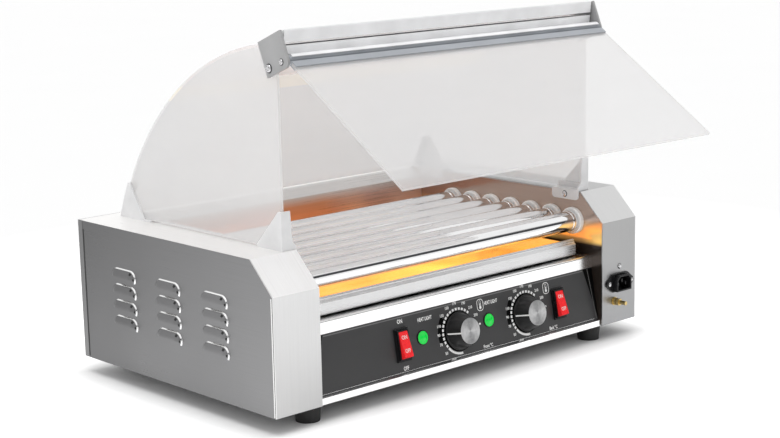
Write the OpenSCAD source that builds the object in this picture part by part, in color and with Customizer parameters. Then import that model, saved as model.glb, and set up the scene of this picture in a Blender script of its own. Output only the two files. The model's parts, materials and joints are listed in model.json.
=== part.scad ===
// Countertop roller grill: heated tubes turn between two side housings, over a drip tray and
// under a clear hood whose front flap swings from an aluminium top rail.
// +X runs to the right along the rollers, -Y is the control side, +Z is up.

/* [Body] */
// Width across the two side panels
body_w = 580; // [560:1:600]
// Depth from the front faces to the rear face
body_d = 357.5; // [356:0.5:365]
// Height of the side housings above their base
body_h = 164; // [163:1:168]
// Width of each side housing
housing_w = 63.3; // [62:0.1:66]
// Size of the sloping corner at the front of each housing
corner = 35.5; // [32:0.5:38]
// Thickness of the sheet steel
sheet = 1.2; // [1:0.1:1.4]
// Height of the rubber feet
foot_h = 20; // [16:1:28]
// Depth of the flat strip along the rear edge
rear_strip = 21.8; // [20:0.1:24]
// Depth of the sloping strip between the cooking well and the flat one
rear_slope = 17; // [15:0.5:18]

/* [Rollers and drive] */
// How many rollers there are
roller_count = 7; // [7]
// Diameter of a roller
roller_d = 25.4; // [24:0.1:26]
// Height of the rollers' axes above the base
roller_z = 127; // [125:1:129]
// Distance from the body's middle forward to the first roller
first_roller = 132; // [130:1:134]
// Pitch of the drive chain
chain_pitch = 6.35; // [6.35]
// Teeth on every sprocket
teeth = 12; // [12]
// Radial running clearance of shafts and pins
run_gap = 0.05; // [0.03:0.01:0.08]

/* [Fascia and controls] */
// Height of the rail's top edge above the base
rail_top = 87; // [86:0.5:88]
// Height of the rail's lower edge, where the control panel starts
rail_low = 72; // [71:0.5:73]
// How far the rail stands in front of the body's middle
rail_y = 161.5; // [160:0.5:163]
// Backward lean of the control panel
lean = 10.2; // [9:0.2:12]
// Length of the control panel down its slope
panel_len = 66; // [65:0.5:67]
// Distance from the panel's top edge down to the knob axes
knob_drop = 34.6; // [33:0.1:36]
// Largest diameter of a knob
knob_d = 42; // [38:1:44]
// Height of a knob above the panel
knob_h = 18.5; // [16:0.5:22]

/* [Drip tray] */
// Width of the tray
tray_w = 420; // [400:1:430]
// Height of the tray's front wall, without its lip
tray_h = 12.8; // [12:0.1:14]

/* [Hood] */
// Thickness of the acrylic sheets
acrylic = 3; // [2.5:0.1:3.2]
// Width across the hood's end caps
hood_w = 490; // [484:1:492]
// Outer radius of the curved back sheet
back_r = 331; // [328:1:333]
// Length of the flap from its hinge to its free edge
flap_len = 204; // [190:1:204]
// Angle of the flap at rest, measured from straight down
flap_rest = 55.5; // [40:0.5:57]

/* [Hidden] */
// Gap between the tray's floor and the front rail's top
tray_gap = 1.9;
$fn = 48;

// Outer faces and the cooking well between the housings
side_x = body_w / 2;
well_x = side_x - housing_w;
front_y = -body_d / 2;
rear_y = body_d / 2;
well_rear = rear_y - rear_strip - rear_slope;
wall_t = 1.5;
seam = 0.05;

// Rollers
roller_gap = 5.5 * chain_pitch;
function roller_y(i) = -first_roller + i * roller_gap;
stub_r = 7.9;
rod_r = 4;
bush_flange = 4.8;
roller_end = well_x - bush_flange - 0.4;
sprocket_x = -(well_x + 16.3);

// Chain drive: the loop is a whole number of pitches long
pitch_r = chain_pitch / 2 / sin(180 / teeth);
leg = 43 * chain_pitch / 2;
half_run = roller_gap * (roller_count - 1) / 2;
motor_y = roller_y(0) + half_run;
motor_z = roller_z - sqrt(leg * leg - half_run * half_run);
leg_angle = atan2(roller_z - motor_z, half_run);

// Controls along the panel, as distances from the middle
dial_x = [-10.6, 102];
lamp_x = [-68, 38.5];
lamp_drop = 31.3;
rocker_x = [-100, 158];
rocker_drop = 33.3;
rocker_tilt = 11.5;
rocker_pivot = 3;

// Inlet and earth stud on the right housing's front
inlet_x = 258.4;
inlet_z = 50.5;
earth_x = 249.5;
earth_z = 27.5;
stud_len = 18.7;

// Hood
cap_t = 3;
cap_x = hood_w / 2;
side_sheet_x = cap_x - cap_t - 0.1;
arc_y = -155;
arc_z = 52;
hood_front = -139;
profile_y = -149;
profile_z = 396.5;
profile_tilt = 22;
profile_d = 39;
hinge_y = -157;
hinge_z = 366.5;
rod_hinge_r = 4;
flap_angle = 270 - flap_rest;
deck_top = body_h + seam;
foot_top = deck_top + 1.6;

// Louvres in the side panels
louvre_r = 12;
louvre_half = 13.3;
louvre_sink = 7;

// The origin is the middle of the whole outline, on the floor
flap_tip_y = hinge_y + flap_len * cos(flap_angle) + acrylic / 2 * cos(flap_angle - 90);
origin_y = -(flap_tip_y + rear_y) / 2;

// Placing
module place() { translate([0, origin_y, foot_h]) children(); }
module both_sides() {
    children();
    mirror([1, 0, 0]) children();
}
module across(x0, x1) { translate([x0, 0, 0]) rotate([90, 0, 90]) linear_extrude(x1 - x0) children(); }
module block(from, to) { translate(from) cube(to - from); }
module on_panel(x, drop) {
    translate([x, -rail_y + 0.5 - drop * sin(lean), rail_low - drop * cos(lean)])
        rotate([90 - lean, 0, 0]) children();
}
module along_x(x, y, z) { translate([x, y, z]) rotate([0, 90, 0]) children(); }

// Sheet-metal body
module housing_outline(inset, y_rear, z_low) {
    bend = inset * tan(22.5);
    polygon([
        [front_y + inset, z_low], [front_y + inset, body_h - corner - bend],
        [front_y + corner + bend, body_h - inset], [y_rear, body_h - inset], [y_rear, z_low]
    ]);
}

module louvre_form(r) {
    rotate([90, 0, 0]) cylinder(h = 2 * louvre_half, r = r, center = true);
    for (end = [-1, 1]) translate([0, end * louvre_half, 0]) sphere(r);
}

module louvre_places() {
    for (col = [0 : 2], row = [0 : 3])
        translate([-side_x + louvre_sink, -81 + 84.5 * col, 109 - 18.5 * row]) children();
}

module side_panel() {
    reach = louvre_r + louvre_half + 1;
    difference() {
        across(-side_x, -side_x + sheet) housing_outline(0, rear_y - 9, 0);
        louvre_places() intersection() {
            louvre_form(louvre_r - 1);
            block([-louvre_r, -reach, 0], [0, reach, louvre_r]);
        }
    }
    louvre_places() intersection() {
        difference() {
            louvre_form(louvre_r);
            louvre_form(louvre_r - 1);
        }
        block([-louvre_r, -reach, 0], [-louvre_sink + sheet / 2, reach, louvre_r]);
    }
}

module left_side_panel() { color("gray") place() side_panel(); }
module right_side_panel() { color("gray") place() mirror([1, 0, 0]) side_panel(); }

module housing_cover() {
    across(-side_x + sheet + seam, -well_x) difference() {
        housing_outline(0, rear_y - sheet - seam, 0);
        housing_outline(sheet, rear_y, -1);
        translate([front_y + sheet, -1]) square([body_d, body_h / 2]);
    }
    block([-side_x + sheet + seam, front_y + seam, 0], [-well_x, front_y + 12, sheet]);
}

module left_housing_cover() { color("whitesmoke") place() housing_cover(); }
module right_housing_cover() {
    color("whitesmoke") place() difference() {
        mirror([1, 0, 0]) housing_cover();
        block([inlet_x - 13.8, front_y - 1, inlet_z - 10.2], [inlet_x + 13.8, front_y + 3, inlet_z + 10.2]);
        for (side = [-1, 1]) translate([inlet_x + 20 * side, front_y, inlet_z]) face_hole(1.7);
        translate([earth_x, front_y, earth_z]) face_hole(2.55);
        translate([inlet_x + 0.8, front_y, 70.5]) face_hole(1.7);
    }
}
module face_hole(r) { rotate([90, 0, 0]) cylinder(h = 8, r = r, center = true); }

module inner_wall() {
    difference() {
        across(-well_x - wall_t, -well_x) housing_outline(sheet + seam, rear_y - sheet - seam, sheet + seam);
        for (i = [0 : roller_count - 1]) along_x(-well_x - 5, roller_y(i), roller_z) cylinder(h = 9, r = 11);
        for (y = [-119, 125]) along_x(-well_x - 5, y, 159) cylinder(h = 9, r = 1.7);
        along_x(-well_x - 5, -100, 40) cylinder(h = 9, r = 10);
    }
}
module left_inner_wall() { color("silver") place() inner_wall(); }
module right_inner_wall() { color("silver") place() mirror([1, 0, 0]) inner_wall(); }

module base_pan() {
    edge = side_x - sheet - seam;
    color("silver") place() {
        block([-edge, front_y + 14, 0], [edge, rear_y - sheet - seam, sheet]);
        both_sides() block([edge - sheet, front_y + 14, 0], [edge, rear_y - sheet - seam, 14]);
    }
}

module rear_deck() {
    edge = well_x - seam;
    slope_y = rear_y - rear_strip;
    slope_z = body_h - 11.5;
    color("whitesmoke") place() across(-edge, edge) polygon([
        [well_rear, rail_top - 1], [well_rear, slope_z], [slope_y, body_h], [rear_y - sheet - seam, body_h],
        [rear_y - sheet - seam, body_h - sheet], [slope_y + 0.4, body_h - sheet],
        [well_rear + sheet, slope_z - 0.7], [well_rear + sheet, rail_top - 1]
    ]);
}

module rear_panel() {
    color("silver") place() {
        difference() {
            block([-side_x, rear_y - sheet, 0], [side_x, rear_y, body_h]);
            for (group = [-150, 150], i = [-5 : 5])
                block([group + 9 * i - 2, rear_y - 3, 40], [group + 9 * i + 2, rear_y + 1, 100]);
        }
        both_sides() block([side_x - sheet, rear_y - 8.5, 0], [side_x, rear_y - sheet / 2, body_h]);
    }
}

module tray_shelf() {
    edge = well_x - seam;
    top = rail_top - sheet;
    color("silver") place() {
        block([-edge, -rail_y + 3, top - sheet], [edge, well_rear - seam, top]);
        both_sides() block([edge - sheet, -145, top - 10], [edge, well_rear - seam, top]);
    }
}

module front_rail() {
    nose = 2.6;
    color("white") place() across(-well_x + seam, well_x - seam) translate([-rail_y, 0]) {
        translate([0, rail_low]) square([sheet, rail_top - rail_low - nose]);
        translate([0, rail_low]) square([9, sheet]);
        translate([nose, rail_top - sheet]) square([12, sheet]);
        intersection() {
            translate([nose, rail_top - nose]) difference() {
                circle(nose);
                circle(nose - sheet);
            }
            translate([0, rail_top - nose]) square(nose);
        }
    }
}

module panel_cutouts(grow) {
    for (x = dial_x) on_panel(x, knob_drop) cylinder(h = 8, r = 5.1 + grow, center = true);
    for (x = lamp_x) on_panel(x, lamp_drop) cylinder(h = 8, r = 5.1 + grow, center = true);
    for (x = rocker_x) on_panel(x, rocker_drop) cube([15 + grow, 32 + grow, 8], center = true);
}

module control_panel() {
    edge = well_x - seam;
    color("gainsboro") place() {
        difference() {
            on_panel(0, panel_len / 2) translate([0, 0, -0.5 - sheet / 2])
                cube([2 * edge, panel_len, sheet], center = true);
            panel_cutouts(0);
        }
        // the bright lower lip, with its flange under the base
        across(-edge, edge) polygon([
            [-171, 7.2], [-172.6, 8], [-176.1, 7], [-176.4, 0], [front_y + 13.9, 0],
            [front_y + 13.9, sheet], [-175.1, sheet], [-174.9, 6], [-172, 6.8]
        ]);
    }
}

module control_overlay() {
    color("dimgray") place() difference() {
        on_panel(0, panel_len / 2 - 1) translate([0, 0, -0.22])
            cube([2 * well_x - 0.4, panel_len - 3, 0.44], center = true);
        panel_cutouts(0.4);
    }
}

// Drip tray
module tray_runners() {
    color("silver") place() both_sides() {
        block([tray_w / 2 + 2, -140, rail_top - sheet], [tray_w / 2 + 3.2, 100, rail_top + 9]);
        block([tray_w / 2 + 2, -140, rail_top - sheet], [well_x - 1, 100, rail_top]);
        block([tray_w / 2 - 12, -120, rail_top - sheet], [tray_w / 2 - 4, 95, rail_top + tray_gap - 0.1]);
    }
}

module drip_tray() {
    half = tray_w / 2;
    low = rail_top + tray_gap;
    face = -150;
    wall = 1;
    color("silver") place() {
        difference() {
            block([-half, face, low], [half, 95, low + tray_h]);
            block([-half + wall, face + wall, low + wall], [half - wall, 95 - wall, low + tray_h + 1]);
        }
        // sloping lip that ends in a rolled edge
        across(-half, half) {
            polygon([[face, low + tray_h], [face + wall, low + tray_h - 0.4], [face + 4.6, low + tray_h + 3.6],
                [face + 3.6, low + tray_h + 4.4]]);
            translate([face + 4.6, low + tray_h + 4.2]) circle(2);
        }
    }
}

// Rollers, bushes and elements
module roller(i) {
    color("lightgray") place() translate([0, roller_y(i), roller_z]) difference() {
        union() {
            along_x(-roller_end, 0, 0) cylinder(h = 2 * roller_end, r = roller_d / 2);
            along_x(sprocket_x - 6, 0, 0) cylinder(h = -sprocket_x + 6 + well_x + 10, r = stub_r);
        }
        along_x(-roller_end + 5, 0, 0) cylinder(h = 2 * roller_end - 10, r = roller_d / 2 - 1.5);
        along_x(-side_x, 0, 0) cylinder(h = body_w, r = 5.5);
    }
}
module roller_1() { roller(0); }
module roller_2() { roller(1); }
module roller_3() { roller(2); }
module roller_4() { roller(3); }
module roller_5() { roller(4); }
module roller_6() { roller(5); }
module roller_7() { roller(6); }

module sprocket_wheel(bore) {
    difference() {
        union() {
            cylinder(h = 2.8, r = pitch_r + 1.4, center = true);
            translate([0, 0, -5]) cylinder(h = 5, r = pitch_r - 3.2);
        }
        cylinder(h = 20, r = bore, center = true);
        for (k = [0 : teeth - 1]) rotate(k * 360 / teeth) {
            translate([pitch_r, 0, 0]) cylinder(h = 4, r = 1.75, center = true);
            translate([pitch_r, 0, -2]) linear_extrude(4) polygon([[0, -1.7], [0, 1.7], [3, 2.6], [3, -2.6]]);
        }
    }
}
// Every second roller is half a chain pitch out of step, so its sprocket is turned half a tooth
module sprocket(i) {
    color("dimgray") place() translate([sprocket_x, roller_y(i), roller_z])
        rotate([90 + (i % 2) * 180 / teeth, 0, 0]) rotate([0, 90, 0]) sprocket_wheel(stub_r + 0.02);
}
module sprocket_1() { sprocket(0); }
module sprocket_2() { sprocket(1); }
module sprocket_3() { sprocket(2); }
module sprocket_4() { sprocket(3); }
module sprocket_5() { sprocket(4); }
module sprocket_6() { sprocket(5); }
module sprocket_7() { sprocket(6); }

module bearing_bushes() {
    color("white") place() both_sides() for (i = [0 : roller_count - 1])
        translate([well_x - bush_flange, roller_y(i), roller_z]) rotate([0, 90, 0]) difference() {
            union() {
                cylinder(h = bush_flange - 0.02, r = 16.5);
                cylinder(h = bush_flange + 7, r = 10.95);
            }
            translate([0, 0, -1]) cylinder(h = 20, r = stub_r + run_gap);
        }
}

module heating_rods() {
    color("gray") place() for (i = [0 : roller_count - 1]) {
        along_x(-well_x - 36, roller_y(i), roller_z) cylinder(h = 2 * well_x + 72, r = rod_r);
        along_x(-well_x - 42, roller_y(i), roller_z) cylinder(h = 2 * well_x + 84, r = 1.5);
    }
}

module element_holders() {
    y0 = roller_y(0) - 14;
    y1 = roller_y(roller_count - 1) + 14;
    color("silver") place() both_sides() {
        difference() {
            block([well_x + 31, y0, roller_z - 9], [well_x + 32.5, y1, roller_z + 9]);
            for (i = [0 : roller_count - 1])
                along_x(well_x + 28, roller_y(i), roller_z) cylinder(h = 9, r = rod_r + run_gap);
        }
        for (y = [y0, y1 - 4]) block([well_x + wall_t, y, roller_z + 14], [well_x + 32.5, y + 4, roller_z + 16]);
        for (y = [y0, y1 - 4]) block([well_x + 31, y, roller_z + 8], [well_x + 32.5, y + 4, roller_z + 16]);
    }
}

// Drive, in the left housing
module gear_motor() {
    color("darkgray") place() translate([0, motor_y, motor_z]) difference() {
        union() {
            block([-well_x - 38, -28, -28], [-well_x - 24, 28, 28]);
            along_x(-well_x - 59, 0, 0) cylinder(h = 22, r = 24);
            along_x(-well_x - 24.5, 0, 0) cylinder(h = 2.7, r = 9);
        }
        along_x(-well_x - 36, 0, 0) cylinder(h = 20, r = 4 + run_gap);
    }
}

module motor_bracket() {
    color("silver") place() translate([0, motor_y, motor_z]) {
        difference() {
            block([-well_x - 23.9, -34, -30], [-well_x - 22.4, 34, 30]);
            along_x(-well_x - 30, 0, 0) cylinder(h = 12, r = 9.2);
        }
        for (y = [-30, 30], z = [-26, 26]) along_x(-well_x - 22.6, y, z) cylinder(h = 22.6 - wall_t, r = 3.5);
    }
}

module motor_sprocket() {
    color("dimgray") place() translate([sprocket_x, motor_y, motor_z])
        rotate([90 + 180 / teeth, 0, 0]) rotate([0, 90, 0]) {
            sprocket_wheel(3.5);
            translate([0, 0, -18]) cylinder(h = 23, r = 4);
        }
}

// The loop runs over the rollers' sprockets and round the motor's, at radius r on each
function bend(y, z, r, from, to, n) = [for (k = [0 : n]) let (a = from + (to - from) * k / n)
    [y + r * cos(a), z + r * sin(a)]];
module chain_loop(r) {
    polygon(concat(
        bend(roller_y(roller_count - 1), roller_z, r, 90, leg_angle - 90, 12),
        bend(motor_y, motor_z, r, leg_angle - 90, -90 - leg_angle, 7),
        bend(roller_y(0), roller_z, r, -90 - leg_angle, -270, 12)
    ));
}

module chain_pin(y, z) { along_x(sprocket_x - 3.4, y, z) cylinder(h = 6.8, r = 1.2); }

module drive_chain() {
    plate = 2.4;
    step = 360 / teeth;
    // distance from a leg's upper end to its first pin, after four whole pitches round the end wheel
    lead = chain_pitch * (5 - (180 - leg_angle) / step);
    color("gray") place() {
        for (side = [-1, 1]) across(sprocket_x + side * 2.4 - 0.6, sprocket_x + side * 2.4 + 0.6) difference() {
            chain_loop(pitch_r + plate);
            chain_loop(pitch_r - plate);
        }
        for (k = [0 : 33]) chain_pin(roller_y(0) + k * chain_pitch, roller_z + pitch_r);
        for (side = [-1, 1], k = [0 : 21]) {
            down = lead + k * chain_pitch;
            chain_pin(motor_y + side * (half_run + pitch_r * sin(leg_angle) - down * cos(leg_angle)),
                roller_z - pitch_r * cos(leg_angle) - down * sin(leg_angle));
        }
        for (side = [-1, 1], k = [1 : 4])
            chain_pin(motor_y + side * (half_run + pitch_r * sin(k * step)), roller_z + pitch_r * cos(k * step));
        for (k = [-0.5, 0.5]) chain_pin(motor_y + pitch_r * sin(k * step), motor_z - pitch_r * cos(k * step));
    }
}

// Controls
module thermostats() {
    color("darkgray") place() for (x = dial_x) on_panel(x, knob_drop) difference() {
        union() {
            translate([-20, -17, -28]) cube([40, 34, 25]);
            translate([0, 0, -4]) cylinder(h = 3.5, r = 5);
        }
        translate([0, 0, -24]) cylinder(h = 30, r = 3 + run_gap);
    }
}

module spindle(x) { color("silver") place() on_panel(x, knob_drop) translate([0, 0, -22]) cylinder(h = 35, r = 3); }
module front_spindle() { spindle(dial_x[0]); }
module back_spindle() { spindle(dial_x[1]); }

module knob(x) {
    color("black") place() on_panel(x, knob_drop) difference() {
        translate([0, 0, 0.8]) cylinder(h = knob_h - 0.8, r1 = knob_d / 2, r2 = knob_d / 2 - 5.2);
        translate([0, 0, -1]) cylinder(h = 15, r = 3.01);
        translate([0, 0, knob_h - 0.9]) cylinder(h = 2, r = knob_d / 2 - 6);
    }
}
module front_knob() { knob(dial_x[0]); }
module back_knob() { knob(dial_x[1]); }

module knob_cap(x) {
    color("silver") place() on_panel(x, knob_drop) translate([0, 0, knob_h - 0.9])
        cylinder(h = 1.1, r = knob_d / 2 - 6.05);
}
module front_knob_cap() { knob_cap(dial_x[0]); }
module back_knob_cap() { knob_cap(dial_x[1]); }

module indicator_lamps() {
    color("limegreen") place() for (x = lamp_x) on_panel(x, lamp_drop) {
        translate([0, 0, 0.02]) cylinder(h = 1.2, r = 7.4);
        intersection() {
            translate([0, 0, -7]) sphere(10);
            translate([0, 0, 0.5]) cylinder(h = 5, r = 6.6);
        }
        translate([0, 0, -18]) cylinder(h = 18.5, r = 5);
    }
}

module rocker_housings() {
    color("black") place() for (x = rocker_x) on_panel(x, rocker_drop) difference() {
        union() {
            translate([-10, -18.5, 0.02]) cube([20, 37, 2.4]);
            translate([-8.2, -16.7, 0.02]) cube([16.4, 33.4, 4.9]);
            translate([-7.4, -15.9, -22]) cube([14.8, 31.8, 23]);
        }
        translate([-6.65, 0, rocker_pivot]) rotate([0, 90, 0]) cylinder(h = 13.3, r = 15.5);
        translate([-7.1, 0, rocker_pivot]) rotate([0, 90, 0]) cylinder(h = 14.2, r = 1.2 + run_gap);
    }
}

module rocker_key(x) {
    color("red") place() on_panel(x, rocker_drop) translate([0, 0, rocker_pivot]) rotate([-rocker_tilt, 0, 0]) {
        intersection() {
            translate([-6.3, 0, 0]) rotate([0, 90, 0]) cylinder(h = 12.6, r = 15.15);
            translate([-7, -16, -6]) cube([14, 32, 10.8]);
        }
        translate([-7.05, 0, 0]) rotate([0, 90, 0]) cylinder(h = 14.1, r = 1.2);
    }
}
module left_rocker_key() { rocker_key(rocker_x[0]); }
module right_rocker_key() { rocker_key(rocker_x[1]); }

module power_inlet() {
    color("black") place() translate([inlet_x, front_y, inlet_z]) rotate([90, 0, 0]) {
        difference() {
            union() {
                linear_extrude(2.5) difference() {
                    union() {
                        polygon([[-14, 11.2], [14, 11.2], [22, 4.6], [22, -4.6], [14, -11.2], [-14, -11.2],
                            [-22, -4.6], [-22, 4.6]]);
                        for (side = [-1, 1]) translate([20 * side, 0]) circle(5);
                    }
                    for (side = [-1, 1]) translate([20 * side, 0]) circle(1.75);
                }
                translate([0, 0, -23]) linear_extrude(32)
                    polygon([[-13.5, -9.9], [13.5, -9.9], [13.5, 4.5], [8.5, 9.9], [-8.5, 9.9], [-13.5, 4.5]]);
            }
            translate([0, 0, -9]) linear_extrude(20)
                polygon([[-12, -8.2], [12, -8.2], [12, 4], [7.8, 8.2], [-7.8, 8.2], [-12, 4]]);
        }
        for (p = [[-7, -1.5], [0, 2.5], [7, -1.5]]) translate([p[0] - 1, p[1] - 2, -10]) cube([2, 4, 15]);
    }
}

module hex_nut(bore) {
    difference() {
        cylinder(h = 3.6, r = 4.6, $fn = 6);
        translate([0, 0, -1]) cylinder(h = 6, r = bore);
    }
}

module earth_stud() {
    color("goldenrod") place() translate([earth_x, front_y, earth_z]) rotate([90, 0, 0]) {
        translate([0, 0, -14]) cylinder(h = 14 + 9.3, r = 2.2);
        translate([0, 0, 9.3]) cylinder(h = stud_len - 9.3, r = 2.5);
        translate([0, 0, 0.02]) difference() {
            cylinder(h = 1, r = 5.2);
            translate([0, 0, -1]) cylinder(h = 4, r = 2.23);
        }
        translate([0, 0, 1.05]) hex_nut(2.23);
        translate([0, 0, 5.6]) hex_nut(2.23);
        translate([0, 0, -sheet - 3.8]) hex_nut(2.23);
    }
}

module rubber_feet() {
    color("black") place() both_sides() for (y = [-155, 150]) translate([228, y, -foot_h]) {
        cylinder(h = foot_h - 0.02, r1 = 13.2, r2 = 15);
    }
}

// Hood
module arc_ring(r_out, r_in) {
    translate([arc_y, arc_z]) difference() {
        circle(r_out, $fn = 180);
        circle(r_in, $fn = 180);
    }
}
module in_profile() { translate([profile_y, profile_z]) rotate(-profile_tilt) children(); }

module hood_back_panel() {
    end_angle = 84;
    color("white", 0.4) place() across(-side_sheet_x, side_sheet_x) intersection() {
        arc_ring(back_r, back_r - acrylic);
        translate([arc_y, arc_z]) polygon([
            [0, 0], [500 * cos(end_angle), 500 * sin(end_angle)], [500, 500],
            [500, foot_top + 0.1 - arc_z], [1, foot_top + 0.1 - arc_z]
        ]);
    }
}

module hood_side_panels() {
    color("white", 0.4) place() both_sides() across(side_sheet_x - acrylic, side_sheet_x) difference() {
        intersection() {
            translate([arc_y, arc_z]) circle(back_r - acrylic - 0.1, $fn = 180);
            translate([hood_front, foot_top + 0.1]) square(400);
        }
        in_profile() translate([-100, -2.5]) square([100 + profile_d - 2, 100]);
    }
}

module front_brackets() {
    out = side_sheet_x + seam;
    color("white") place() both_sides() {
        // side gusset, front post, foot and inner lip
        across(out, out + 2) polygon([[-141, deck_top], [-98, deck_top], [-98, deck_top + 2.5],
            [-135.5, deck_top + 42], [-141, deck_top + 42]]);
        translate([0, -139.1, 0]) rotate([90, 0, 0]) linear_extrude(1.9) polygon([[out + 2, deck_top],
            [out + 2, deck_top + 42], [out - 10, deck_top + 42], [out - 12, deck_top + 9],
            [well_x - 1.8, deck_top + 4], [well_x - 1.8, deck_top]]);
        block([well_x - 1.8, -141, deck_top], [out + 2, -98, foot_top]);
        block([out - acrylic - 2.2, -139.5, deck_top], [out - acrylic - 0.2, -98, deck_top + 8]);
        bracket_tab(-141, -98, -119);
    }
}

module bracket_tab(y0, y1, screw_y) {
    low = 152.8;
    round_r = 5;
    across(well_x - 1.8, well_x - seam) difference() {
        union() {
            translate([y0, low + round_r]) square([y1 - y0, foot_top - low - round_r]);
            translate([y0 + round_r, low]) square([y1 - y0 - 2 * round_r, round_r + 1]);
            translate([y0 + round_r, low + round_r]) circle(round_r);
            translate([y1 - round_r, low + round_r]) circle(round_r);
        }
        translate([screw_y, 159]) circle(2.1);
    }
}

module rear_brackets() {
    out = side_sheet_x + seam;
    color("white") place() both_sides() {
        across(out, out + 2) intersection() {
            polygon([[112, deck_top], [170, deck_top], [170, deck_top + 42], [137.5, deck_top + 42],
                [112, deck_top + 2.5]]);
            translate([arc_y, arc_z]) circle(back_r + 2.2, $fn = 180);
        }
        across(out - 12, out + 2) intersection() {
            arc_ring(back_r + 2.2, back_r + 0.2);
            translate([100, deck_top]) square([70, 42]);
        }
        block([well_x - 1.8, 98, deck_top], [out + 2, 157, foot_top]);
        block([out - acrylic - 2.2, 100, deck_top], [out - acrylic - 0.2, 150, deck_top + 8]);
        bracket_tab(98, well_rear - 0.6, 125);
    }
}

module top_profile() {
    knuckle_y = hinge_y - profile_y;
    knuckle_z = hinge_z - profile_z;
    color("silver") place() across(-side_sheet_x + acrylic + 0.1, side_sheet_x - acrylic - 0.1)
        translate([profile_y, profile_z]) difference() {
            rotate(-profile_tilt) {
                wall = 1.8;
                difference() {
                    polygon([[0, 0], [profile_d, 0], [profile_d, -37], [11, -37], [7.4, -33], [7.4, -29],
                        [13, -25.5], [0, -1.5]]);
                    polygon([[4.2, -wall], [profile_d - 12, -wall], [profile_d - 12, -7], [profile_d - wall, -7],
                        [profile_d - wall, -37 + wall], [16, -37 + wall], [15.2, -25.5], [3.6, -2.6]]);
                }
                translate([32.5, -30.5]) difference() {
                    circle(4.2);
                    circle(1.6);
                }
            }
            translate([knuckle_y, knuckle_z]) circle(5.5);
            translate([-profile_y, -profile_z]) arc_ring(back_r + 0.15, back_r - acrylic - 0.15);
        }
    color("silver") place() across(-side_sheet_x + acrylic + 0.1, side_sheet_x - acrylic - 0.1)
        translate([hinge_y, hinge_z]) difference() {
            circle(5.7);
            circle(rod_hinge_r + run_gap);
            polygon([[0, 0], [12 * cos(147), 12 * sin(147)], [-16, -2], [-8, -16], [12 * cos(289), 12 * sin(289)]]);
        }
}

module profile_end_caps() {
    round_r = 7;
    color("silver") place() both_sides() across(cap_x - cap_t, cap_x) in_profile() difference() {
        union() {
            translate([0, -profile_d + round_r]) square([profile_d, profile_d - round_r]);
            translate([round_r, -profile_d]) square([profile_d - round_r, round_r + 1]);
            translate([round_r, -profile_d + round_r]) circle(round_r);
        }
        translate([32.5, -30.5]) circle(1.7);
        translate([10.6, -30.8]) circle(1.7);
    }
}

module hinge_strip() {
    half = side_sheet_x - 0.3;
    color("darkgray") place() across(-half, half) translate([hinge_y, hinge_z]) {
        circle(rod_hinge_r);
        rotate(flap_angle) {
            translate([3, -1]) square([4, 2]);
            difference() {
                translate([6.3, -acrylic / 2 - 1.4]) square([8.2, acrylic + 2.8]);
                translate([8, -acrylic / 2 - 0.02]) square([10, acrylic + 0.04]);
            }
        }
    }
}

module flap_panel() {
    half = side_sheet_x - 0.3;
    color("white", 0.4) place() across(-half, half) translate([hinge_y, hinge_z]) rotate(flap_angle)
        translate([8.05, -acrylic / 2]) square([flap_len - 8.05, acrylic]);
}

// Fasteners, as a group of separate screws
module pan_screw(r, shank) {
    cylinder(h = r * 0.55, r = r);
    translate([0, 0, -shank]) cylinder(h = shank, r = 1.55);
}

module fixing_screws() {
    color("silver") place() {
        both_sides() for (y = [-119, 125]) translate([well_x - 1.82, y, 159]) rotate([0, -90, 0]) pan_screw(3.4, 7);
        both_sides() translate([cap_x + 0.02, profile_y, profile_z]) rotate([-profile_tilt, 0, 0]) {
            translate([0, 32.5, -30.5]) rotate([0, 90, 0]) pan_screw(4.2, 2.9);
            translate([0, 10.6, -30.8]) rotate([0, 90, 0]) pan_screw(3, 2.9);
        }
        translate([inlet_x + 0.8, front_y - 0.02, 70.5]) rotate([90, 0, 0]) pan_screw(3, 6);
        for (side = [-1, 1]) translate([inlet_x + 20 * side, front_y - 2.52, inlet_z]) rotate([90, 0, 0])
            pan_screw(3, 8);
    }
}

// Wires follow short routes between the terminals
function unit(v) = v / norm(v);
function heading(path, i) = unit(path[min(i + 1, len(path) - 1)] - path[max(i - 1, 0)]);
function ring(c, d, r, sides) = let (u = unit(cross(d, [0.1, 0.2, 1])), w = cross(d, u))
    [for (k = [0 : sides - 1]) c + r * (u * cos(k * 360 / sides) + w * sin(k * 360 / sides))];

module wire(path, r) {
    sides = 6;
    n = len(path);
    points = [for (i = [0 : n - 1]) each ring(path[i], heading(path, i), r, sides)];
    walls = [for (i = [0 : n - 2], k = [0 : sides - 1]) let (m = (k + 1) % sides)
        [i * sides + k, (i + 1) * sides + k, (i + 1) * sides + m, i * sides + m]];
    first = [for (k = [0 : sides - 1]) k];
    last = [for (k = [sides - 1 : -1 : 0]) (n - 1) * sides + k];
    polyhedron(points, concat([first], walls, [last]));
}

module terminal_block_and_wiring() {
    color("ivory") place() {
        block([170, -70, sheet + seam], [226, -50, 18]);
        for (k = [0 : 4]) translate([176 + 11 * k, -60, 18]) cylinder(h = 1.5, r = 2.6);
        wire([[258, -154, 50], [256, -130, 48], [248, -106, 42], [232, -100, 40], [214, -98, 38], [204, -82, 30],
            [198, -72, 12]], 1.6);
        wire([[176, -71, 10], [170, -90, 20], [162, -116, 34], [158, -128, 34], [158, -138, 33]], 1.6);
        wire([[187, -71, 10], [170, -100, 12], [130, -120, 20], [108, -132, 24], [104, -135.5, 27]], 1.6);
        wire([[170, -60, 9], [140, -56, 5], [0, -50, 5], [-190, -60, 6], [-212, -84, 24], [-224, -98, 38],
            [-240, -98, 38], [-252, -84, 32], [-262, -62, 34], [-262, -56.5, 36]], 1.6);
    }
}

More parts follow.
